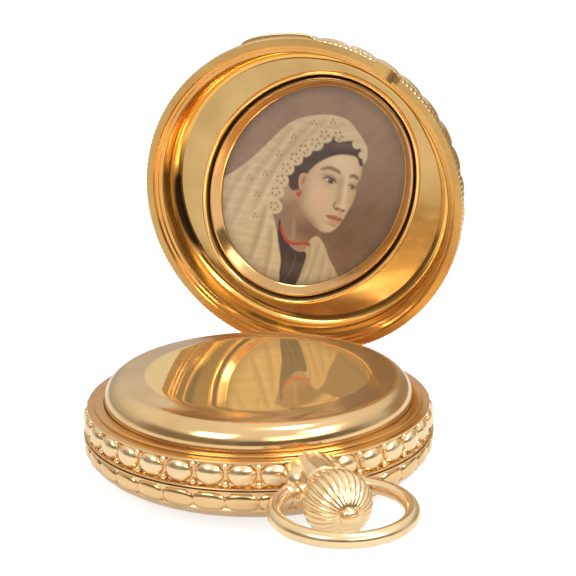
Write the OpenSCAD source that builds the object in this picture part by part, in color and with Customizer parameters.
// Ladies' hunting-case pocket watch, lying on its front cover with the back cover open.
// Millimetres. Z is up along the case axis, the pendant points along -Y.
// The origin is the centre of the flat resting spot under the front cover.
// The dial looks down: 3 o'clock is at -Y, 6 at +X, 9 at +Y and 12 at -X.

/* [Case] */
// Outer radius of the covers' lips and of the bead row
case_r = 17.1; // [16.9:0.05:17.3]
// Height of the band's lower face
band_low = 4.4; // [4.35:0.01:4.45]
// Height of the band's upper ledge
band_high = 7; // [6.95:0.01:7.05]
// How far the band's plain wall lies inside the case radius, behind the beads
bead_seat = 0.75; // [0.7:0.05:0.95]
// Width of the shelf for the case screws
shelf_w = 0.65; // [0.6:0.05:0.8]
// Height of that shelf
shelf_z = 5.6; // [5.55:0.05:5.7]
// Thickness of the band's two flanges
flange_t = 0.25; // [0.2:0.05:0.3]
// How far the beads stand past the flanges
bead_proud = 0.12; // [0.08:0.01:0.2]
// Number of bead places round the band
bead_count = 34; // [30:1:36]
// Bearing of the first and last bead from the pendant
bead_start = 11.3; // [11:0.1:13]
// Radius of a bead
bead_r = 1.15; // [1:0.05:1.15]

/* [Covers] */
// Running gap between a cover's lip and the band
cover_gap = 0.07; // [0.05:0.01:0.09]
// Width of a cover's flat lip
lip_w = 0.85; // [0.75:0.05:0.95]
// Height of a cover's straight milled edge
edge_h = 0.85; // [0.7:0.05:1]
// Rise of the back cover's dome above its milled edge
back_rise = 5.5; // [5.4:0.05:5.8]
// Fullness of the domes, where 2 is an ellipse
fullness = 2.7; // [2.4:0.1:3]
// Thickness of the covers' sheet
cover_wall = 0.45; // [0.4:0.05:0.5]
// Radius of the flat resting spot under the front cover
rest_r = 9; // [8:0.5:10]
// Angle at which the back cover stands open
back_open = 84.4; // [60:0.1:90]
// Bearing of the back cover's hinge from the side away from the pendant
back_hinge_az = 34; // [30:1:40]
// Bearing of the front cover's hinge from the same side
front_hinge_az = 0; // [-10:1:10]
// Width of the back cover's thumb lift
lift_w = 8; // [6:0.5:9]
// How far the thumb lift stands out
lift_out = 0.45; // [0.3:0.05:0.6]
// Bearing of the thumb lift from the pendant
lift_az = 40; // [34:1:44]

/* [Hinges] */
// Radius of a cover hinge barrel
barrel_r = 0.55; // [0.5:0.01:0.58]
// Radius of a cover hinge pin
pin_r = 0.25; // [0.2:0.01:0.3]
// Length of one cover hinge knuckle
knuckle_l = 1.7; // [1.5:0.05:1.9]
// Gap between neighbouring knuckles
knuckle_gap = 0.08; // [0.06:0.01:0.12]
// Radial clearance of a shaft or pin in its hole
running = 0.02; // [0.01:0.005:0.04]
// Radial relief cut round a turning barrel
relief = 0.08; // [0.06:0.01:0.12]
// Radius of the inner lid's hinge barrel
small_barrel_r = 0.33; // [0.3:0.01:0.35]
// Radius of the inner lid's hinge pin
small_pin_r = 0.14; // [0.12:0.01:0.16]

/* [Inner lid] */
// How far the inner lid's foot lies inside the case radius
lid_inset = 2.1; // [2:0.05:2.2]
// Height of the inner lid's foot
lid_foot_z = 7.22; // [7.2:0.01:7.25]
// Height of the middle disc
lid_top_z = 9.7; // [9.6:0.05:9.75]
// Width of the rolled shoulder outside its crest
shoulder_w = 1.94; // [1.8:0.02:2.1]
// Width of the slope between the crest and the flat mirror disc
land_w = 2.56; // [2.36:0.02:3]
// Drop from the disc to the crest
crest_drop = 0.22; // [0.15:0.01:0.3]
// Thickness of the inner lid's sheet
lid_wall = 0.4; // [0.35:0.05:0.45]

/* [Picture frame] */
// Distance from the case radius to the long end of the oval picture opening
picture_margin = 5.2; // [5.1:0.05:5.5]
// How much narrower the opening's half width is than its half length
picture_slim = 2.4; // [2.2:0.05:2.7]
// Distance from the opening's middle to the centres of its end arcs
picture_arc_y = 3.9; // [3.6:0.1:4.2]
// Width of the sloping bezel round the picture
bezel_w = 1.3; // [1.2:0.05:1.35]
// Width of the raised collar round the bezel
collar_w = 0.6; // [0.5:0.05:0.65]
// Height of the collar above the field
collar_h = 0.3; // [0.25:0.01:0.35]
// Depth of the field below the cover's lip
field_depth = 3.5; // [3.4:0.01:3.6]
// Width of the cove round the flat field
cove_w = 1.65; // [1.6:0.05:1.7]
// Depth of the picture below the cover's lip
picture_depth = 4.65; // [4.55:0.05:4.7]
// Thickness of the picture card
card_t = 0.2; // [0.15:0.01:0.22]
// Thickness of the frame's sheet
frame_wall = 0.3; // [0.25:0.01:0.35]
// Depth of the snap rim inside the cover's lip
snap_depth = 0.45; // [0.4:0.05:0.5]
// How far the snap rim's inner edge lies inside the case radius
snap_inset = 1.6; // [1.5:0.05:1.65]

/* [Pendant] */
// Height of the pendant's axis
pendant_z = 5.65; // [5.6:0.01:5.7]
// Radius of the pendant's neck
neck_r = 2; // [1.95:0.05:2.1]
// Length of the neck outside the case
neck_l = 4.3; // [4.1:0.1:4.5]
// Radius of the bore through the neck
neck_bore_r = 1.35; // [1.3:0.05:1.4]
// Radius of the two lobes at the neck's root
lobe_r = 1.42; // [1.38:0.01:1.5]
// Sideways offset of a lobe
lobe_x = 1.42; // [1.4:0.01:1.48]
// Length of the lobes outside the case
lobe_l = 2.1; // [1.8:0.1:2.2]
// Distance from the case's edge to the bow's pivot
pivot_out = 3.1; // [3:0.05:3.2]
// Radius of the bow's wire
bow_wire_r = 0.68; // [0.6:0.02:0.7]
// Radius of the bow's ring at the middle of the wire
bow_ring_r = 5.75; // [5.6:0.05:5.9]
// Room between the pendant's ears and the bow's ends
bow_gap = 0.11; // [0.08:0.01:0.2]
// Radius of the bow's pivot pins
bow_pin_r = 0.4; // [0.35:0.01:0.42]
// Widest radius of the crown
crown_r = 3; // [2.8:0.05:3.1]
// Length of the crown without its button
crown_l = 4.5; // [4.3:0.1:4.6]
// Gap between the neck and the crown
crown_gap = 0.55; // [0.5:0.05:0.6]
// Number of flutes on the crown
crown_flutes = 26; // [20:1:32]
// Radius of the crown's button
button_r = 0.85; // [0.7:0.05:0.95]
// Length of the crown's button
button_l = 0.6; // [0.5:0.05:0.7]
// Radius of the winding stem
stem_r = 0.58; // [0.5:0.01:0.6]
// Outer radius of the push sleeve
sleeve_r = 1.31; // [1.28:0.01:1.32]
// How far the crown and the push sleeve can be pressed in
sleeve_push = 0.4; // [0.3:0.05:0.45]

/* [Front glass] */
// Width of the glass's bezel
glass_bezel_w = 3; // [2.9:0.05:3.1]
// Height of the glass's lowest point
glass_low_z = 0.95; // [0.9:0.01:1.05]
// Height of the glass's lower edge
glass_edge_z = 2.7; // [2.65:0.01:2.75]
// Thickness of the glass
glass_t = 0.35; // [0.3:0.01:0.4]
// How far the glass's bezel lies inside the case radius
glass_inset = 1.7; // [1.6:0.05:1.8]

/* [Movement] */
// How far the main plate lies inside the case radius
plate_inset = 3.4; // [3.38:0.01:3.5]
// Play of the movement in the band's bore
plate_play = 0.05; // [0.03:0.01:0.08]
// Height of the main plate's lower face
plate_low = 4.2; // [4.15:0.01:4.25]
// Thickness of the main plate
plate_t = 0.8; // [0.75:0.01:0.85]
// Height of the bridges' lower face
bridge_low = 7; // [6.98:0.01:7.02]
// Thickness of the bridges
bridge_t = 0.9; // [0.85:0.01:0.92]
// How far the bridges lie inside the main plate's edge
bridge_inset = 0.9; // [0.85:0.05:1.1]
// How far the dial lies inside the main plate's edge
dial_inset = 0.7; // [0.65:0.05:0.9]
// Height of the dial's visible face
dial_low = 3.4; // [3.38:0.01:3.42]
// Thickness of the dial
dial_t = 0.35; // [0.3:0.01:0.38]
// Radius of the balance, as a share of the main plate's
balance_share = 0.314; // [0.3:0.002:0.32]
// Gap kept between the teeth of two wheels in mesh
mesh_gap = 0.05; // [0.03:0.01:0.08]
// Thickness of the hands
hand_t = 0.08; // [0.06:0.01:0.1]
// Thickness of a train wheel
wheel_t = 0.18; // [0.15:0.01:0.2]
// Radius of a train arbor
arbor_r = 0.15; // [0.12:0.01:0.18]

/* [Hidden] */
$fn = 96;
small_fn = 32;
eps = 0.01;

// Radii that follow from the case radius
band_wall_r = case_r - bead_seat;
ledge_r = case_r - lip_w - 0.25;
lid_r = case_r - lid_inset;
crest_r = lid_r - shoulder_w;
disc_r = crest_r - land_w;
snap_r = case_r - snap_inset;
glass_bezel_r = case_r - glass_inset;
glass_r = glass_bezel_r - glass_bezel_w;
plate_r = case_r - plate_inset;
bore_r = plate_r + plate_play;
shelf_r = bore_r + shelf_w;
bridge_r = plate_r - bridge_inset;
dial_r = plate_r - dial_inset;
balance_r = plate_r * balance_share;
picture_a = case_r - picture_margin;
picture_b = picture_a - picture_slim;
picture_end_r = picture_a - picture_arc_y;
neck_end = case_r + neck_l;
lobe_end = case_r + lobe_l;
bow_pivot = case_r + pivot_out;
ear_x = neck_r + 0.4;
bow_end_x = ear_x + bow_gap + bow_wire_r + 0.05;
bow_mid = bow_pivot + sqrt(pow(bow_ring_r, 2) - pow(bow_end_x, 2));

// Hinge places
hinge_r = case_r - lip_w + 0.2;
back_lip_z = band_high + cover_gap;
front_lip_z = band_low - cover_gap;
hinge_l = 5 * knuckle_l;
lid_hinge_r = lid_r + small_barrel_r + relief;
lid_hinge_z = lid_foot_z + 0.08;
lid_knuckle_l = 1.6;
back_top_z = back_lip_z + edge_h + back_rise;
front_edge_z = front_lip_z - edge_h;
// The dome would reach a little below the table, and is cut flat at the resting spot.
rest_share = pow(1 - pow(rest_r / case_r, fullness), 1 / fullness);
front_fall = front_edge_z / rest_share;
gold = [0.86, 0.68, 0.36];
pale_gold = [0.85, 0.74, 0.5];
brass = [0.8, 0.66, 0.36];
steel = [0.7, 0.71, 0.74];
blue_steel = [0.15, 0.2, 0.45];
ruby = [0.75, 0.1, 0.25];

// Picture frame, as distances along the closed cover's axis
picture_z = back_lip_z + picture_depth;
field_z = back_lip_z + field_depth;
bezel_a = picture_a + bezel_w;
bezel_b = picture_b + bezel_w;
bezel_top_depth = field_depth + 0.1;
fit_gap = 0.05;
field_r = snap_r - frame_wall - fit_gap - cove_w;

// Movement levels
plate_top = plate_low + plate_t;
bridge_top = bridge_low + bridge_t;
rim_top = shelf_z - fit_gap;
rim_in_r = plate_r - 0.8;

// The movement's plan grows with its plate, and its levels with its depth.
unit = plate_r / 13.7;
function up(h) = plate_low + h * (bridge_top - plate_low) / 3.7;

// Gear trains: modules, teeth and places
m_barrel = 0.155 * unit;
barrel_teeth = 72;
centre_leaves = 12;
m_centre = 0.135 * unit;
centre_teeth = 64;
pinion_leaves = 8;
m_third = 0.12 * unit;
third_teeth = 60;
m_fourth = 0.105 * unit;
fourth_teeth = 60;
escape_leaves = 6;
escape_teeth = 15;
escape_r = 2 * unit;
barrel_az = 200;
third_az = -43;
escape_az = 52.7;
function pitch(m, n) = m * n / 2;
function polar(r, a) = [r * cos(a), r * sin(a)];
barrel_gap = pitch(m_barrel, barrel_teeth) + pitch(m_barrel, centre_leaves);
third_gap = pitch(m_centre, centre_teeth) + pitch(m_centre, pinion_leaves);
escape_gap = pitch(m_fourth, fourth_teeth) + pitch(m_fourth, escape_leaves);
barrel_at = polar(barrel_gap, barrel_az);
third_at = polar(third_gap, third_az);
fourth_gap = pitch(m_third, third_teeth) + pitch(m_third, pinion_leaves);
fourth_at = [third_at[0] + sqrt(pow(fourth_gap, 2) - pow(third_at[1], 2)), 0];
escape_at = fourth_at + polar(escape_gap, escape_az);
lever_az = 140;
pallet_at = escape_at + polar(2.4 * unit, lever_az);
balance_at = pallet_at + polar(3.3 * unit, lever_az);
m_winding = 0.2 * unit;
ratchet_teeth = 54;
crown_wheel_teeth = 28;
winding_gap = pitch(m_winding, ratchet_teeth) + pitch(m_winding, crown_wheel_teeth);
crown_wheel_r = pitch(m_winding, crown_wheel_teeth);
crown_wheel_at = [0, barrel_at[1] - sqrt(pow(winding_gap, 2) - pow(barrel_at[0], 2))];
winding_pinion_r = bridge_low + 0.2 - pendant_z;
winding_teeth = 16;
pinion_y = crown_wheel_at[1] - crown_wheel_r + 0.35;
m_cannon = 0.1 * unit;
cannon_leaves = 12;
minute_teeth = 36;
motion_gap = pitch(m_cannon, cannon_leaves) + pitch(m_cannon, minute_teeth);
hour_teeth = 40;
minute_leaves = 10;
m_hour = 2 * motion_gap / (hour_teeth + minute_leaves);
minute_at = polar(motion_gap, 135);
barrel_pillars = [[-9.9, 6.2], [-4.2, 6.2], [-4.4, -10.8]] * unit;
train_pillars = [[10.9, -4.1], [5.7, -10.1]] * unit;
dial_feet = [[-9, 8], [9, 8]] * unit;
cock_az = atan2(balance_at[1], balance_at[0]);
cock_foot_r = bridge_r - 0.75;
cock_foot_l = 0.85;
cock_screw_r = 0.24;
cock_screw_at = polar(cock_foot_r - 0.1 + cock_foot_l / 2, cock_az);
pillar_r = 1.1;
screw_r = 0.4;
screw_head_r = 0.75;
jewel_r = 0.48;
jewel_t = 0.35;
jewel_at = [third_at, fourth_at, escape_at];
case_screw_az = [15, 165];
case_screw_gap = plate_r - 0.42;

// Minute past ten, as angles on the down-facing dial
hour_hand_az = 125;
minute_hand_az = 240;
second_hand_az = 30;

// Shared shapes

// Four-arc oval, grown outward by w, with its long axis along Y
module oval(w = 0) {
    side_r = (pow(picture_b, 2) + pow(picture_a - picture_end_r, 2) - pow(picture_end_r, 2))
        / (2 * (picture_b - picture_end_r));
    end_y = picture_a - picture_end_r;
    side_x = side_r - picture_b;
    tangent_y = end_y * (side_r + w) / (side_r - picture_end_r);
    for (s = [-1, 1]) translate([0, s * end_y]) circle(r = picture_end_r + w);
    intersection() {
        translate([side_x, 0]) circle(r = side_r + w, $fn = 192);
        translate([-side_x, 0]) circle(r = side_r + w, $fn = 192);
        square([2 * (picture_b + w), 2 * tangent_y], center = true);
    }
}

// Points of a dome's quarter outline, from its foot to its top
function dome(r, h, z, steps = 14, up = 1) = [
    for (i = [0 : steps])
        let (t = 90 * i / steps)
        [r * pow(cos(t), 2 / fullness), z + up * h * pow(sin(t), 2 / fullness)]
];

function reversed(p) = [for (i = [len(p) - 1 : -1 : 0]) p[i]];

// Gear outline with straight-sided teeth that stay clear of the mating wheel
module gear(n, m) {
    tip = pitch(m, n) - mesh_gap / 2;
    root = tip - 1.9 * m;
    step = 360 / n;
    polygon([for (i = [0 : n - 1], k = [[-0.28, 0], [-0.14, 1], [0.14, 1], [0.28, 0]])
        polar(k[1] == 1 ? tip : root, (i + k[0]) * step)]);
}

// Flat ribbon along a spiral, from r0 at a0 to r1
module spiral(r0, r1, turns, w, a0 = 0) {
    steps = ceil(turns * 20);
    inner = [for (i = [0 : steps])
        polar(r0 + (r1 - r0) * i / steps - w / 2, a0 + 360 * turns * i / steps)];
    outer = [for (i = [0 : steps])
        polar(r0 + (r1 - r0) * i / steps + w / 2, a0 + 360 * turns * i / steps)];
    polygon(concat(inner, reversed(outer)));
}

// Cylinder between two heights
module post(r, z0, z1) {
    translate([0, 0, z0]) cylinder(r = r, h = z1 - z0, $fn = small_fn);
}

// Cylinder along -Y between two distances from the case axis, at the pendant's height
module along_pendant(r, y0, y1, x = 0) {
    translate([x, -y0, pendant_z]) rotate([90, 45, 0]) cylinder(r = r, h = y1 - y0, $fn = 48);
}

// Turns what is drawn towards +Y to a bearing towards +X
module at_bearing(az) {
    rotate([0, 0, -az]) children();
}

// Barrel pieces of a hinge along X, for the listed knuckles
module knuckles(r, l, gap, count, first, grow = 0) {
    for (i = [first : 2 : count - 1])
        translate([(i - count / 2) * l + gap / 2 - grow, 0, 0])
            rotate([0, 90, 0]) cylinder(r = r, h = l - gap + 2 * grow, $fn = small_fn);
}

// Full-length cylinder on a hinge's axis
module hinge_rod(r, l) {
    translate([-l / 2, 0, 0]) rotate([0, 90, 0]) cylinder(r = r, h = l, $fn = small_fn);
}

// Neck's outer form, grown by g for the notches in the covers
module neck_form(g = 0) {
    along_pendant(neck_r + g, bore_r + 2, neck_end);
    for (s = [-1, 1]) translate([s * lobe_x, -bore_r - 2, pendant_z]) rotate([90, 0, 0])
        round_ended(lobe_r + g, lobe_end - bore_r - 2);
}

// Rod along Z from the origin with a rounded far end
module round_ended(r, l) {
    steps = 8;
    rotate_extrude($fn = 64) polygon(concat([[0, 0], [r, 0]],
        [for (i = [0 : steps]) let (t = 90 * i / steps) [r * cos(t), l - r + r * sin(t)]]));
}

// Case

module case_band() {
    color(gold) difference() {
        union() {
            band_ring();
            band_beads();
            band_knuckles();
        }
        band_hinge_cuts();
        along_pendant(neck_bore_r, shelf_r - 1, case_r + 1);
    }
}

module band_ring() {
    flange_r = case_r - bead_proud - 0.05;
    rotate_extrude($fn = 128) polygon([
        [bore_r, band_low], [flange_r, band_low], [flange_r, band_low + flange_t],
        [band_wall_r, band_low + flange_t + 0.1], [band_wall_r, band_high - flange_t - 0.1],
        [flange_r, band_high - flange_t], [flange_r, band_high], [ledge_r, band_high],
        [ledge_r, lid_foot_z + 0.08], [lid_r + fit_gap, lid_foot_z + 0.08],
        [lid_r + fit_gap, lid_foot_z - fit_gap], [shelf_r, lid_foot_z - fit_gap],
        [shelf_r, shelf_z], [bore_r, shelf_z]
    ]);
}

// Beads keep away from both hinges.
module band_beads() {
    step = (360 - 2 * bead_start) / (bead_count - 1);
    hinge_half = asin(hinge_l / 2 / case_r) + step / 2;
    for (i = [0 : bead_count - 1]) {
        az = bead_start + i * step;
        from_back = abs(((az + 180 + back_hinge_az + 180) % 360) - 180);
        from_front = abs(((az + 180 + front_hinge_az + 180) % 360) - 180);
        if (from_back > hinge_half && from_front > hinge_half)
            rotate([0, 0, az]) translate([0, -(case_r - bead_r), (band_low + band_high) / 2])
                sphere(r = bead_r, $fn = small_fn);
    }
}

module band_knuckles() {
    root_r = band_wall_r - 0.7;
    root_w = hinge_r - 0.15 - root_r;
    at_bearing(back_hinge_az) {
        translate([0, hinge_r, back_lip_z]) knuckles(barrel_r, knuckle_l, knuckle_gap, 5, 0);
        for (i = [0 : 2 : 4]) translate([(i - 2.5) * knuckle_l + knuckle_gap / 2, root_r,
            band_high - 0.9]) cube([knuckle_l - knuckle_gap, root_w, 0.9]);
        translate([0, lid_hinge_r, lid_hinge_z])
            knuckles(small_barrel_r, lid_knuckle_l, knuckle_gap, 3, 0);
    }
    at_bearing(front_hinge_az) {
        translate([0, hinge_r, front_lip_z]) knuckles(barrel_r, knuckle_l, knuckle_gap, 5, 0);
        for (i = [0 : 2 : 4]) translate([(i - 2.5) * knuckle_l + knuckle_gap / 2, root_r,
            band_low]) cube([knuckle_l - knuckle_gap, root_w, 0.9]);
    }
}

module band_hinge_cuts() {
    swing = case_r - hinge_r + relief;
    cut_l = 2 * sqrt(pow(case_r + relief, 2) - pow(hinge_r - relief, 2)) + 0.6;
    lid_cut_l = 3 * lid_knuckle_l;
    at_bearing(back_hinge_az) {
        translate([0, hinge_r, back_lip_z]) {
            hinge_rod(pin_r + running, hinge_l + 1);
            knuckles(barrel_r + relief, knuckle_l, knuckle_gap, 5, 1, knuckle_gap);
        }
        difference() {
            translate([-cut_l / 2, hinge_r - 0.1, back_lip_z - swing])
                cube([cut_l, 2, swing + 1]);
            translate([0, hinge_r, back_lip_z])
                knuckles(barrel_r, knuckle_l, knuckle_gap, 5, 0);
        }
        translate([0, lid_hinge_r, lid_hinge_z]) {
            hinge_rod(small_pin_r + running, lid_cut_l + 0.5);
            knuckles(small_barrel_r + relief, lid_knuckle_l, knuckle_gap, 3, 1, knuckle_gap);
        }
    }
    at_bearing(front_hinge_az) {
        translate([0, hinge_r, front_lip_z]) {
            hinge_rod(pin_r + running, hinge_l + 1);
            knuckles(barrel_r + relief, knuckle_l, knuckle_gap, 5, 1, knuckle_gap);
        }
        difference() {
            translate([-cut_l / 2, hinge_r - 0.1, front_lip_z - 1])
                cube([cut_l, 2, swing + 1]);
            translate([0, hinge_r, front_lip_z])
                knuckles(barrel_r, knuckle_l, knuckle_gap, 5, 0);
        }
    }
}

module pendant_neck() {
    color(pale_gold) difference() {
        union() {
            neck_form();
            along_pendant(neck_r + 0.15, neck_end - 0.45, neck_end);
            translate([-ear_x, -bow_pivot, pendant_z]) rotate([0, 90, 0])
                cylinder(r = bow_pin_r + 0.35, h = 2 * ear_x, $fn = small_fn);
        }
        cylinder(r = case_r + 0.03, h = 12, $fn = 128);
        along_pendant(neck_bore_r, band_wall_r - 1, neck_end + 1);
        translate([-ear_x - 1, -bow_pivot, pendant_z]) rotate([0, 90, 0])
            cylinder(r = bow_pin_r + running, h = 2 * ear_x + 2, $fn = small_fn);
    }
}

// Covers

// Turns a closed piece to the open back cover's place
module back_opened() {
    at_bearing(back_hinge_az) translate([0, hinge_r, back_lip_z]) rotate([-back_open, 0, 0])
        translate([0, -hinge_r, -back_lip_z]) rotate([0, 0, back_hinge_az]) children();
}

module back_cover() {
    color(gold) back_opened() difference() {
        union() {
            rotate_extrude($fn = 128) polygon(concat(
                [[case_r - lip_w, back_lip_z], [case_r, back_lip_z]],
                dome(case_r, back_rise, back_lip_z + edge_h),
                [[0, back_top_z - cover_wall]],
                reversed(dome(case_r - cover_wall, back_rise - cover_wall, back_lip_z + edge_h)),
                [[snap_r, back_lip_z + edge_h], [snap_r, back_lip_z + snap_depth],
                    [case_r - lip_w, back_lip_z + snap_depth]]
            ));
            at_bearing(back_hinge_az) translate([0, hinge_r, back_lip_z])
                knuckles(barrel_r, knuckle_l, knuckle_gap, 5, 1);
            thumb_lift(-lift_az, back_lip_z);
        }
        at_bearing(back_hinge_az) translate([0, hinge_r, back_lip_z]) {
            hinge_rod(pin_r + running, hinge_l + 1);
            knuckles(barrel_r + relief, knuckle_l, knuckle_gap, 5, 0, knuckle_gap);
        }
        cover_lid_cut();
        neck_form(0.1);
    }
}

// Room in the back cover's snap rim for the inner lid's hinge
module cover_lid_cut() {
    at_bearing(back_hinge_az) translate([0, lid_hinge_r, lid_hinge_z])
        hinge_rod(small_barrel_r + 2 * relief, 3 * lid_knuckle_l + 0.4);
}

// Small ledge for the thumb nail, standing out from the lip
module thumb_lift(az, z) {
    rotate([0, 0, az]) intersection() {
        translate([0, 0, z]) cylinder(r = case_r + lift_out, h = 0.35);
        translate([-lift_w / 2, -case_r - 2, z]) cube([lift_w, 3, 0.35]);
    }
}

module back_cover_hinge_pin() {
    color(pale_gold) at_bearing(back_hinge_az) translate([0, hinge_r, back_lip_z])
        hinge_rod(pin_r, hinge_l - knuckle_gap);
}

// Stamped inner plate of the back cover, with its cove and flat field
module picture_plate() {
    start_z = back_lip_z + edge_h + fit_gap;
    cove_h = field_z - start_z;
    steps = 8;
    color(gold) back_opened() difference() {
        rotate_extrude($fn = 128) polygon(concat(
            [for (i = [0 : steps]) let (t = 90 * i / steps)
                [field_r + cove_w * cos(t), start_z + cove_h * sin(t)]],
            [[picture_b, field_z], [picture_b, field_z + frame_wall]],
            [for (i = [steps : -1 : 0]) let (t = 90 * i / steps)
                [field_r + (cove_w + frame_wall) * cos(t), start_z + (cove_h + frame_wall) * sin(t)]]
        ));
        translate([0, 0, field_z - 1]) linear_extrude(height = 3) oval(bezel_w + fit_gap);
    }
}

module picture_collar() {
    color(gold) back_opened() translate([0, 0, field_z - collar_h - eps])
        linear_extrude(height = collar_h) difference() {
            intersection() {
                oval(bezel_w + fit_gap + collar_w);
                circle(r = field_r + 0.15);
            }
            oval(bezel_w + fit_gap);
        }
}

// Sloping ring that holds the picture card
module picture_bezel() {
    slope_h = picture_depth - bezel_top_depth - fit_gap;
    inner_x = picture_b / bezel_b;
    inner_y = picture_a / bezel_a;
    color(gold) back_opened() translate([0, 0, back_lip_z + bezel_top_depth]) difference() {
        linear_extrude(height = slope_h, slices = 1, scale = [(picture_b + frame_wall) / bezel_b,
            (picture_a + frame_wall) / bezel_a]) oval(bezel_w);
        translate([0, 0, -eps]) linear_extrude(height = slope_h + 2 * eps, slices = 1,
            scale = [inner_x, inner_y]) oval(bezel_w - 0.06);
    }
}

module picture_card() {
    color([0.5, 0.42, 0.36]) back_opened() translate([0, 0, picture_z])
        linear_extrude(height = card_t) oval(frame_wall / 2);
}

// Inner lid over the movement, with a flat mirror disc
module inner_lid() {
    shoulder_h = lid_top_z - crest_drop - lid_foot_z - 0.3;
    steps = 8;
    outline = [for (i = [0 : steps]) let (t = 90 * i / steps)
        [crest_r + (lid_r - crest_r) * cos(t), lid_foot_z + 0.3 + shoulder_h * sin(t)]];
    inside = [for (i = [0 : steps]) let (t = 90 * i / steps)
        [crest_r - lid_wall / 2 + (lid_r - crest_r - lid_wall / 2) * cos(t),
            lid_foot_z + 0.3 + (shoulder_h - lid_wall) * sin(t)]];
    color(gold) difference() {
        union() {
            rotate_extrude($fn = 128) polygon(concat(
                [[lid_r, lid_foot_z]], outline,
                [[disc_r, lid_top_z], [0, lid_top_z], [0, lid_top_z - lid_wall],
                    [disc_r, lid_top_z - lid_wall]],
                reversed(inside), [[lid_r - lid_wall, lid_foot_z]]
            ));
            at_bearing(back_hinge_az) {
                translate([0, lid_hinge_r, lid_hinge_z])
                    knuckles(small_barrel_r, lid_knuckle_l, knuckle_gap, 3, 1);
                translate([(knuckle_gap - lid_knuckle_l) / 2, lid_r - 0.3, lid_hinge_z])
                    cube([lid_knuckle_l - knuckle_gap, lid_hinge_r - lid_r + 0.3,
                        small_barrel_r]);
            }
        }
        at_bearing(back_hinge_az) translate([0, lid_hinge_r, lid_hinge_z])
            hinge_rod(small_pin_r + running, lid_knuckle_l * 3);
    }
}

module inner_lid_hinge_pin() {
    color(pale_gold) at_bearing(back_hinge_az) translate([0, lid_hinge_r, lid_hinge_z])
        hinge_rod(small_pin_r, 3 * lid_knuckle_l - knuckle_gap);
}

module front_cover() {
    color(pale_gold) difference() {
        union() {
            rotate_extrude($fn = 128) polygon(concat(
                [[case_r - lip_w, front_lip_z], [case_r, front_lip_z]],
                dome(case_r, front_fall, front_edge_z, up = -1),
                [[0, front_edge_z - front_fall + cover_wall + 0.25]],
                reversed(dome(case_r - cover_wall, front_fall - cover_wall - 0.25,
                    front_edge_z, up = -1)),
                [[snap_r + 0.2, front_edge_z], [snap_r + 0.2, front_lip_z - snap_depth],
                    [case_r - lip_w, front_lip_z - snap_depth]]
            ));
            at_bearing(front_hinge_az) translate([0, hinge_r, front_lip_z])
                knuckles(barrel_r, knuckle_l, knuckle_gap, 5, 1);
        }
        at_bearing(front_hinge_az) translate([0, hinge_r, front_lip_z]) {
            hinge_rod(pin_r + running, hinge_l + 1);
            knuckles(barrel_r + relief, knuckle_l, knuckle_gap, 5, 0, knuckle_gap);
        }
        neck_form(0.1);
        translate([0, 0, -2]) cylinder(r = rest_r + 3, h = 2);
    }
}

module front_cover_hinge_pin() {
    color(pale_gold) at_bearing(front_hinge_az) translate([0, hinge_r, front_lip_z])
        hinge_rod(pin_r, hinge_l - knuckle_gap);
}

// Glass and its bezel

function glass_z(r) = glass_low_z + (glass_edge_z - glass_low_z) * pow(r / glass_r, 2);

module front_glass() {
    steps = 10;
    color([0.85, 0.9, 0.95, 0.4]) rotate_extrude($fn = 128) polygon(concat(
        [for (i = [0 : steps]) let (r = glass_r * i / steps) [r, glass_z(r)]],
        [for (i = [steps : -1 : 0]) let (r = glass_r * i / steps) [r, glass_z(r) + glass_t]]
    ));
}

module glass_bezel() {
    seat_r = glass_r + running;
    seat_z = glass_edge_z + glass_t + running;
    color(gold) rotate_extrude($fn = 128) polygon([
        [seat_r, glass_edge_z - fit_gap], [glass_bezel_r - 2.1, glass_edge_z - fit_gap],
        [glass_bezel_r - 0.5, band_low - 0.9], [glass_bezel_r, band_low - 0.4],
        [glass_bezel_r, band_low - running], [plate_r + 0.5, band_low - running],
        [plate_r + 0.5, band_low - 0.45], [dial_r + 0.15, band_low - 0.5],
        [dial_r + 0.15, dial_low - running], [seat_r - 0.4, dial_low - running],
        [seat_r - 0.4, seat_z], [seat_r, seat_z]
    ]);
}

// Bow, crown and stem

module bow() {
    drop = bow_mid - bow_pivot;
    half = asin(bow_end_x / bow_ring_r);
    color(pale_gold) translate([0, -bow_mid, pendant_z]) {
        rotate([0, 0, 90 + half]) rotate_extrude(angle = 360 - 2 * half, $fn = 96)
            translate([bow_ring_r, 0]) circle(r = bow_wire_r, $fn = small_fn);
        for (s = [-1, 1]) {
            translate([s * (bow_end_x + 0.05), drop, 0])
                sphere(r = bow_wire_r + 0.1, $fn = small_fn);
            translate([s > 0 ? neck_bore_r + 0.2 : -bow_end_x, drop, 0]) rotate([0, 90, 0])
                cylinder(r = bow_pin_r, h = bow_end_x - neck_bore_r - 0.2, $fn = small_fn);
        }
    }
}

crown_start = neck_end + crown_gap;

module crown() {
    steps = 8;
    dome_l = crown_l * 0.68;
    rim_l = crown_l - dome_l;
    color(pale_gold) difference() {
        translate([0, -crown_start, pendant_z]) rotate([90, 0, 0]) union() {
            difference() {
                rotate_extrude($fn = 96) polygon(concat(
                    [[0, 0], [crown_r - 0.5, 0], [crown_r - 0.12, rim_l * 0.5]],
                    [for (i = [0 : steps]) let (t = 80 * i / steps)
                        [crown_r * cos(t), rim_l + dome_l * sin(t)]],
                    [[0, crown_l]]
                ));
                for (i = [0 : crown_flutes - 1]) rotate([0, 0, 360 * i / crown_flutes])
                    translate([crown_r + 0.12, 0, -1])
                        cylinder(r = 0.26, h = crown_l + 2, $fn = 24);
            }
            translate([0, 0, crown_l - 0.6]) cylinder(r = button_r, h = button_l + 0.6,
                $fn = small_fn);
        }
        along_pendant(stem_r + running, crown_start - 1, crown_start + 2.6);
    }
}

stem_in = -crown_wheel_at[1] + 0.5;

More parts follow.
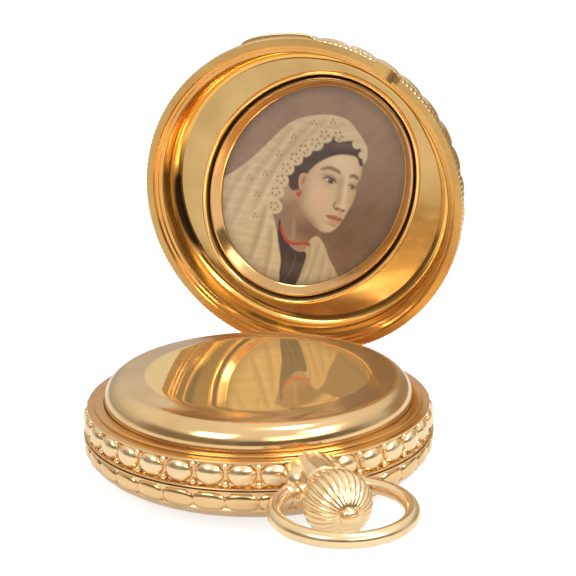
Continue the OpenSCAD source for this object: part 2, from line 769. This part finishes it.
module winding_stem() {
    color(steel) along_pendant(stem_r, stem_in, crown_start + 2.5);
}

module push_sleeve() {
    color(steel) difference() {
        along_pendant(sleeve_r, glass_bezel_r + sleeve_push + 0.1, crown_start - 0.06);
        along_pendant(stem_r + running, shelf_r, crown_start + 1);
    }
}

// Springs of the case, lying on the shelf inside the band

// Curved flat strip between two angles
module strip(r0, r1, z0, z1, a0, a1) {
    translate([0, 0, z0]) rotate([0, 0, a0])
        rotate_extrude(angle = a1 - a0, $fn = 128) translate([r0, 0]) square([r1 - r0, z1 - z0]);
}

spring_r0 = shelf_r - 0.42;
spring_r1 = shelf_r - 0.08;
spring_z = shelf_z + fit_gap;
spring_foot_r = spring_r0 - 0.08;
lift_spring_az = 20;
lock_spring_az = 205;
spring_screw_lead = 4;

// Curved spring with its screw foot at the start
module case_spring(start, sweep) {
    lead = spring_screw_lead;
    color(steel) difference() {
        union() {
            strip(spring_r0, spring_r1, spring_z + 0.05, spring_z + 0.9,
                start + 2 * lead, start + sweep);
            strip(spring_r0 - 0.45, spring_r1 - 0.03, spring_z, spring_z + 0.3,
                start, start + 2.5 * lead);
        }
        rotate([0, 0, start + lead]) translate([spring_foot_r, 0, spring_z - 1])
            cylinder(r = 0.3 + running, h = 3, $fn = small_fn);
    }
}

module lift_spring() {
    case_spring(lift_spring_az, 42);
}

module lock_spring() {
    case_spring(lock_spring_az, 55);
}

module spring_screws() {
    color(blue_steel) for (a = [lift_spring_az, lock_spring_az])
        rotate([0, 0, a + spring_screw_lead]) translate([spring_foot_r, 0, 0]) {
            post(0.3, spring_z, spring_z + 0.33);
            post(0.42, spring_z + 0.31, spring_z + 0.5);
        }
}

module case_screws() {
    color(blue_steel) for (a = case_screw_az) rotate([0, 0, a])
        translate([case_screw_gap, 0, 0]) {
            post(0.38, plate_low + 0.1, shelf_z + running);
            post(0.75, shelf_z + running, shelf_z + 0.3);
        }
}

// Movement

module main_plate() {
    color(brass) difference() {
        rotate_extrude($fn = 128) polygon([
            [0, plate_low], [dial_r - 0.5, plate_low], [dial_r - 0.5, dial_low + dial_t + running],
            [dial_r + 0.1, dial_low + dial_t + running], [dial_r + 0.1, band_low - 0.35],
            [plate_r + 0.4, band_low - 0.35], [plate_r + 0.4, band_low - running],
            [plate_r, band_low - running], [plate_r, rim_top], [rim_in_r, rim_top],
            [rim_in_r, plate_top], [0, plate_top]
        ]);
        post(0.3 + running, plate_low - 1, plate_top + 1);
        translate([-winding_pinion_r - 0.2, -12.3 * unit, plate_low - 1])
            cube([2 * winding_pinion_r + 0.4, 4.2 * unit, 4]);
        along_pendant(stem_r + 0.12, rim_in_r - 1, plate_r + 1);
        for (p = concat(jewel_at, [pallet_at, balance_at])) translate(p)
            post(jewel_r + running, plate_low - 1, plate_top + 1);
        translate(barrel_at) post(0.93, plate_low - 1, plate_top + 1);
        for (a = case_screw_az) rotate([0, 0, a]) translate([case_screw_gap, 0, 0])
            post(0.38 + running, plate_low - 1, rim_top + 1);
        for (p = concat(barrel_pillars, train_pillars)) translate(p)
            post(screw_r + running, plate_low + 0.2, plate_top + 1);
        translate(cock_screw_at) post(cock_screw_r + running, plate_low + 0.2, plate_top + 1);
        for (p = dial_feet) translate(p) post(0.37, plate_low - 1, plate_top + 1);
        translate(minute_at) post(0.3 + running, plate_low - 1, plate_top + 1);
    }
}

module dial() {
    color([0.95, 0.94, 0.9]) difference() {
        union() {
            post_wide(dial_r, dial_low, dial_low + dial_t);
            for (p = dial_feet) translate(p) post(0.35, dial_low + 0.1, plate_low + 0.5);
        }
        post(0.85, dial_low - 1, dial_low + 1);
        translate(fourth_at) post(0.3, dial_low - 1, dial_low + 1);
    }
}

module post_wide(r, z0, z1) {
    translate([0, 0, z0]) cylinder(r = r, h = z1 - z0, $fn = 128);
}

module bridge_screw_holes(places) {
    for (p = places) translate(p) post(screw_r + running, plate_top, bridge_top + 1);
}

module barrel_bridge() {
    color(pale_gold) difference() {
        union() {
            translate([0, 0, bridge_low]) linear_extrude(height = bridge_t) difference() {
                intersection() {
                    circle(r = bridge_r);
                    polygon([[-13, -13], [3.4, -13], [3.4, -5.8], [1.4, -4.2], [1.4, 1.6],
                        [-1.6, 3.2], [-1.6, 13], [-13, 13]] * unit);
                }
                translate(balance_at) circle(r = balance_r + 0.45);
            }
            for (p = barrel_pillars) translate(p) post(pillar_r, plate_top, bridge_low + 0.2);
        }
        bridge_screw_holes(barrel_pillars);
        translate(barrel_at) post(0.9 + running, bridge_low - 1, bridge_top + 1);
        post(0.3 + running, bridge_low - 1, bridge_top + 1);
        translate(crown_wheel_at) difference() {
            post(crown_wheel_r + 0.1, bridge_low + 0.25, bridge_top + 1);
            post(crown_wheel_r - 0.75, bridge_low, bridge_top + 2);
        }
        translate([-winding_pinion_r - 0.2, pinion_y - 0.6, bridge_low - 1])
            cube([2 * winding_pinion_r + 0.4, 1.3, 1.3]);
        translate(crown_wheel_at) post(0.25 + running, bridge_low + 0.1, bridge_top + 1);
        translate(click_at) post(0.3 + running, bridge_low + 0.1, bridge_top + 1);
        translate(click_spring_at) post(0.25 + running, bridge_low + 0.1, bridge_top + 1);
    }
}

module train_bridge() {
    color(pale_gold) difference() {
        union() {
            translate([0, 0, bridge_low]) linear_extrude(height = bridge_t) difference() {
                intersection() {
                    circle(r = bridge_r);
                    polygon([[3.7, -13], [13, -13], [13, 4.6], [6, 4.6], [1.7, 1],
                        [1.7, -4], [3.7, -5.6]] * unit);
                }
                translate(balance_at) circle(r = balance_r + 0.45);
            }
            for (p = train_pillars) translate(p) post(pillar_r, plate_top, bridge_low + 0.2);
        }
        bridge_screw_holes(train_pillars);
        for (p = jewel_at) translate(p) post(jewel_r + running, bridge_low - 1, bridge_top + 1);
    }
}

cock_low = bridge_top + 0.05;
cock_top = cock_low + 0.55;

module balance_cock() {
    color(pale_gold) difference() {
        union() {
            translate(balance_at) post(1.6 * unit, cock_low, cock_top);
            rotate([0, 0, cock_az]) {
                translate([norm(balance_at), -1.4, cock_low])
                    cube([cock_foot_r - 0.1 + cock_foot_l - norm(balance_at), 2.8,
                        cock_top - cock_low]);
                translate([cock_foot_r - 0.1, -1.4, plate_top])
                    cube([cock_foot_l, 2.8, cock_low - plate_top + eps]);
            }
        }
        translate(balance_at) post(jewel_r + running, cock_low - 1, cock_top + 1);
        translate(cock_screw_at) post(cock_screw_r + running, plate_top - 1, cock_top + 1);
    }
}

module pallet_bridge() {
    reach = 2.45 * unit;
    foot = pallet_at + polar(reach, lever_az - 90);
    color(pale_gold) difference() {
        union() {
            translate([0, 0, up(2.42)]) linear_extrude(height = 0.22) {
                translate(pallet_at) circle(r = 0.65, $fn = small_fn);
                translate(foot) circle(r = 0.6, $fn = small_fn);
                translate(pallet_at) rotate([0, 0, lever_az - 90]) translate([0, -0.5])
                    square([reach, 1]);
            }
            translate(foot) post(0.45, plate_top, up(2.5));
        }
        translate(pallet_at) post(arbor_r + running, up(2), up(3));
    }
}

module bridge_screws() {
    color(blue_steel) {
        for (p = concat(barrel_pillars, train_pillars)) translate(p) {
            post(screw_r, plate_low + 0.3, bridge_top + running);
            post(screw_head_r, bridge_top + running, bridge_top + 0.3);
        }
        translate(cock_screw_at) {
            post(cock_screw_r, plate_low + 0.3, cock_top + running);
            post(0.4, cock_top + running, cock_top + 0.2);
        }
    }
}

// Barrel and winding work

barrel_low = up(1.3);
barrel_high = up(2.65);
drum_r = pitch(m_barrel, barrel_teeth) - 0.5;
barrel_arbor_r = 0.9;

module mainspring_barrel() {
    color(brass) translate(barrel_at) difference() {
        union() {
            post_wide(drum_r, barrel_low, barrel_high);
            translate([0, 0, barrel_low + 0.22]) linear_extrude(height = 0.36) rotate([0, 0, 2])
                gear(barrel_teeth, m_barrel);
        }
        post_wide(drum_r - 0.25, barrel_low + 0.2, barrel_high + 1);
        post(barrel_arbor_r + running, barrel_low - 1, barrel_high);
    }
}

module barrel_cover() {
    color(brass) translate(barrel_at) difference() {
        post_wide(drum_r - 0.25 - running, barrel_high - 0.22, barrel_high - 0.02);
        post(barrel_arbor_r + running, barrel_low, barrel_high + 1);
    }
}

module barrel_arbor() {
    color(steel) translate(barrel_at) post(barrel_arbor_r, plate_low + 0.1, bridge_top + 0.04);
}

module mainspring() {
    color(blue_steel) translate([barrel_at[0], barrel_at[1], barrel_low + 0.26])
        linear_extrude(height = barrel_high - barrel_low - 0.54)
            spiral(barrel_arbor_r + 0.25, drum_r - 0.45, 7, 0.16);
}

module ratchet_wheel() {
    color(steel) translate(barrel_at) difference() {
        translate([0, 0, bridge_top + 0.06]) linear_extrude(height = 0.32)
            gear(ratchet_teeth, m_winding);
        post(0.28 + running, bridge_top - 1, bridge_top + 1);
    }
}

module crown_wheel() {
    color(steel) translate(crown_wheel_at) difference() {
        union() {
            translate([0, 0, bridge_top + 0.06]) linear_extrude(height = 0.32)
                gear(crown_wheel_teeth, m_winding);
            difference() {
                post(crown_wheel_r - 0.3, bridge_low + 0.28, bridge_top + 0.1);
                post(crown_wheel_r - 0.68, bridge_low, bridge_top + 0.05);
            }
        }
        post(0.25 + running, bridge_top - 1, bridge_top + 1);
    }
}

module wheel_screws() {
    color(blue_steel) {
        translate(barrel_at) {
            post(0.28, bridge_top + 0.05, bridge_top + 0.4);
            post(0.9, bridge_top + 0.4, bridge_top + 0.6);
        }
        translate(crown_wheel_at) {
            post(0.25, bridge_top - 0.5, bridge_top + 0.4);
            post(0.8, bridge_top + 0.4, bridge_top + 0.58);
        }
    }
}

click_at = barrel_at + polar(pitch(m_winding, ratchet_teeth) + 1.4, 100);
click_spring_at = barrel_at + polar(pitch(m_winding, ratchet_teeth) + 1.3, 140);

module click() {
    beak_at = barrel_at + polar(pitch(m_winding, ratchet_teeth) + 0.35, 118);
    color(steel) {
        difference() {
            translate([0, 0, bridge_top + 0.06]) linear_extrude(height = 0.3) hull() {
                translate(click_at) circle(r = 0.7, $fn = small_fn);
                translate(beak_at) circle(r = 0.25, $fn = small_fn);
            }
            translate(click_at) post(0.3 + running, bridge_top - 1, bridge_top + 1);
        }
    }
}

module click_spring() {
    color(blue_steel) {
        translate([barrel_at[0], barrel_at[1], bridge_top + 0.06])
            strip_at(pitch(m_winding, ratchet_teeth) + 0.95, 0.14, 0.26, 123, 142);
        translate(click_spring_at) {
            post(0.55, bridge_top + 0.06, bridge_top + 0.32);
            post(0.25, bridge_top - 0.5, bridge_top + 0.1);
        }
        translate(click_at) {
            post(0.3, bridge_top - 0.5, bridge_top + 0.4);
            post(0.5, bridge_top + 0.4, bridge_top + 0.55);
        }
    }
}

module strip_at(r, w, h, a0, a1) {
    rotate([0, 0, a0]) rotate_extrude(angle = a1 - a0, $fn = 128) translate([r, 0])
        square([w, h]);
}

module toothed_roll(r, y0, l, n) {
    translate([0, y0 + l / 2, pendant_z]) rotate([90, 0, 0]) difference() {
        linear_extrude(height = l) polygon([for (i = [0 : n - 1], k = [[-0.25, 0], [-0.12, 1],
            [0.12, 1], [0.25, 0]]) polar(r - (1 - k[1]) * 0.35, (i + k[0]) * 360 / n)]);
        translate([0, 0, -1]) cylinder(r = stem_r + running, h = l + 2, $fn = small_fn);
    }
}

module winding_pinion() {
    color(steel) toothed_roll(winding_pinion_r, pinion_y, 1, winding_teeth);
}

module clutch_wheel() {
    color(steel) toothed_roll(1.2, pinion_y + 1.15, 1.2, 14);
}

lever_pivot = [-2.6, -11.2] * unit;

module setting_lever() {
    color(steel) difference() {
        translate([0, 0, plate_top + 0.05]) linear_extrude(height = 0.25) {
            translate(lever_pivot) circle(r = 0.6, $fn = small_fn);
            polygon([lever_pivot + [0, 0.4], lever_pivot + [0, -0.4],
                lever_pivot + [0.75, -0.5], lever_pivot + [0.75, 0]]);
            polygon([lever_pivot + [-0.4, 0], lever_pivot + [0.4, 0],
                lever_pivot + [0.1, 2.3], lever_pivot + [-0.2, 2.3]]);
        }
        translate(lever_pivot) post(0.22, plate_top - 1, plate_top + 1);
    }
}

// Going train

module arbor(z0, z1) {
    post(arbor_r, z0, z1);
}

module spoked_wheel(n, m, hub, spokes = 4) {
    rim = pitch(m, n) - mesh_gap / 2 - 1.9 * m;
    difference() {
        gear(n, m);
        difference() {
            circle(r = rim - 0.3, $fn = small_fn * 2);
            circle(r = hub, $fn = small_fn);
            for (i = [0 : spokes - 1]) rotate([0, 0, 360 * i / spokes])
                translate([0, -0.15]) square([rim, 0.3]);
        }
    }
}

module centre_wheel() {
    color(brass) {
        translate([0, 0, up(0.94)]) linear_extrude(height = wheel_t)
            spoked_wheel(centre_teeth, m_centre, 0.8);
        translate([0, 0, up(1.1)]) linear_extrude(height = 0.9) gear(centre_leaves, m_barrel);
        post(0.3, dial_low - 0.7, bridge_top - 0.05);
    }
}

module third_wheel() {
    color(brass) translate(third_at) {
        translate([0, 0, up(2.1)]) linear_extrude(height = wheel_t)
            spoked_wheel(third_teeth, m_third, 0.6);
        translate([0, 0, up(0.88)]) linear_extrude(height = 0.34)
            gear(pinion_leaves, m_centre);
        arbor(plate_low + 0.3, bridge_top - 0.3);
    }
}

module fourth_wheel() {
    color(brass) translate(fourth_at) {
        translate([0, 0, up(1.54)]) linear_extrude(height = wheel_t)
            spoked_wheel(fourth_teeth, m_fourth, 0.6);
        translate([0, 0, up(1.95)]) linear_extrude(height = 0.45) gear(pinion_leaves, m_third);
        arbor(dial_low - 0.25, bridge_top - 0.3);
    }
}

module escape_wheel() {
    root = escape_r * 0.775;
    color(steel) translate(escape_at) {
        translate([0, 0, up(2.1)]) linear_extrude(height = 0.14) difference() {
            polygon([for (i = [0 : escape_teeth - 1], k = [[-0.3, root], [0.1, escape_r],
                [0.25, escape_r - 0.08], [0.12, root]]) polar(k[1],
                    (i + k[0]) * 360 / escape_teeth)]);
            difference() {
                circle(r = root - 0.25, $fn = 48);
                circle(r = 0.45, $fn = small_fn);
                for (i = [0 : 3]) rotate([0, 0, 90 * i]) translate([0, -0.12])
                    square([root - 0.15, 0.24]);
            }
        }
        translate([0, 0, up(1.4)]) linear_extrude(height = 0.45) gear(escape_leaves, m_fourth);
        arbor(plate_low + 0.3, bridge_top - 0.3);
    }
}

module pallet_lever() {
    reach = 2.3 * unit;
    color(steel) translate(pallet_at) rotate([0, 0, lever_az]) {
        translate([0, 0, up(2.08)]) linear_extrude(height = 0.16) {
            circle(r = 0.35, $fn = small_fn);
            polygon([[0, -0.2], [0, 0.2], [reach, 0.12], [reach, -0.12]]);
            translate([-0.15, -1.6]) square([0.3, 3.2]);
            for (s = [-1, 1]) translate([-0.4, s * 1.5 - 0.14]) square([0.4, 0.28]);
            difference() {
                translate([reach, -0.3]) square([0.4, 0.6]);
                translate([reach + 0.15, -0.14]) square([0.4, 0.28]);
            }
        }
        arbor(plate_low + 0.3, up(2.6));
    }
}

module balance_wheel() {
    rim_low = up(2.75);
    color(brass) translate(balance_at) {
        difference() {
            post_wide(balance_r, rim_low, rim_low + 0.4);
            post_wide(balance_r - 0.35, rim_low - 1, rim_low + 1);
        }
        translate([-balance_r + 0.1, -0.3, rim_low]) cube([2 * balance_r - 0.2, 0.6, 0.2]);
        post(0.9, up(2.3), up(2.44));
        post(0.2, plate_low + 0.3, cock_top - 0.1);
        for (i = [0 : 9]) rotate([0, 0, 18 + 36 * i])
            translate([balance_r - 0.1, 0, rim_low + 0.2]) rotate([0, 90, 0])
                cylinder(r = 0.16, h = 0.3, $fn = 16);
    }
}

module hairspring() {
    color(blue_steel) translate([balance_at[0], balance_at[1], up(3.35)]) difference() {
        union() {
            post(0.5, 0, 0.16);
            linear_extrude(height = 0.16) spiral(0.45, balance_r * 0.605, 8, 0.06);
        }
        post(0.2 + running, -1, 1);
    }
}

module regulator() {
    color(steel) translate([balance_at[0], balance_at[1], cock_top + 0.04]) difference() {
        union() {
            post(1, 0, 0.14);
            rotate([0, 0, cock_az + 8]) linear_extrude(height = 0.14)
                polygon([[0.75, -0.2], [balance_r * 0.7, -0.06], [balance_r * 0.7, 0.06],
                    [0.75, 0.2]]);
        }
        post(jewel_r + 0.15, -1, 1);
    }
}

// Motion work, hands and jewels

module cannon_pinion() {
    color(steel) difference() {
        union() {
            post(0.46, dial_low - 0.65, plate_low - 0.05);
            translate([0, 0, plate_low - 0.25]) linear_extrude(height = 0.2)
                gear(cannon_leaves, m_cannon);
        }
        post(0.3 + running, dial_low - 1, plate_top);
    }
}

module minute_wheel() {
    color(brass) translate(minute_at) {
        translate([0, 0, plate_low - 0.21]) linear_extrude(height = 0.14)
            gear(minute_teeth, m_cannon);
        translate([0, 0, plate_low - 0.4]) linear_extrude(height = 0.2)
            gear(minute_leaves, m_hour);
        post(0.3, plate_low - 0.38, plate_low + 0.5);
    }
}

module hour_wheel() {
    color(brass) difference() {
        union() {
            post(0.72, dial_low - 0.4, plate_low - 0.28);
            translate([0, 0, plate_low - 0.41]) linear_extrude(height = 0.14)
                gear(hour_teeth, m_hour);
        }
        post(0.46 + running, dial_low - 1, plate_top);
    }
}

module hand(length, width, hub, hole, az, z) {
    color(blue_steel) translate([0, 0, z]) rotate([0, 0, az]) linear_extrude(height = hand_t)
        difference() {
            union() {
                circle(r = hub, $fn = small_fn);
                polygon([[0, -width / 4], [length * 0.62, -width / 4],
                    [length * 0.74, -width / 2], [length, 0], [length * 0.74, width / 2],
                    [length * 0.62, width / 4], [0, width / 4]]);
            }
            circle(r = hole, $fn = small_fn);
        }
}

module hour_hand() {
    hand(dial_r * 0.54, 1, 1, 0.72 + running, hour_hand_az, dial_low - 0.36);
}

module minute_hand() {
    hand(dial_r * 0.79, 0.8, 0.8, 0.46 + running, minute_hand_az, dial_low - 0.6);
}

module second_hand() {
    translate(fourth_at) hand(dial_r * 0.185, 0.24, 0.35, arbor_r + running, second_hand_az,
        dial_low - 0.18);
}

module jewels() {
    color(ruby) {
        for (p = jewel_at) translate(p) difference() {
            union() {
                post(jewel_r, plate_low + 0.35, plate_low + 0.35 + jewel_t);
                post(jewel_r, bridge_low + 0.3, bridge_low + 0.3 + jewel_t);
            }
            post(arbor_r + running, plate_low, bridge_top);
        }
        translate(balance_at) difference() {
            union() {
                post(jewel_r, plate_low + 0.35, plate_low + 0.35 + jewel_t);
                post(jewel_r, cock_low + 0.1, cock_low + 0.1 + jewel_t);
            }
            post(0.2 + running, plate_low, cock_top);
        }
        translate(pallet_at) difference() {
            post(jewel_r, plate_low + 0.35, plate_low + 0.35 + jewel_t);
            post(arbor_r + running, plate_low, plate_top);
        }
    }
}

case_band();
pendant_neck();
back_cover();
back_cover_hinge_pin();
picture_plate();
picture_collar();
picture_bezel();
picture_card();
inner_lid();
inner_lid_hinge_pin();
front_cover();
front_cover_hinge_pin();
glass_bezel();
front_glass();
bow();
crown();
winding_stem();
push_sleeve();
lift_spring();
lock_spring();
spring_screws();
case_screws();
main_plate();
dial();
barrel_bridge();
train_bridge();
balance_cock();
pallet_bridge();
bridge_screws();
mainspring_barrel();
barrel_cover();
barrel_arbor();
mainspring();
ratchet_wheel();
crown_wheel();
wheel_screws();
click();
click_spring();
winding_pinion();
clutch_wheel();
setting_lever();
centre_wheel();
third_wheel();
fourth_wheel();
escape_wheel();
pallet_lever();
balance_wheel();
hairspring();
regulator();
cannon_pinion();
minute_wheel();
hour_wheel();
hour_hand();
minute_hand();
second_hand();
jewels();
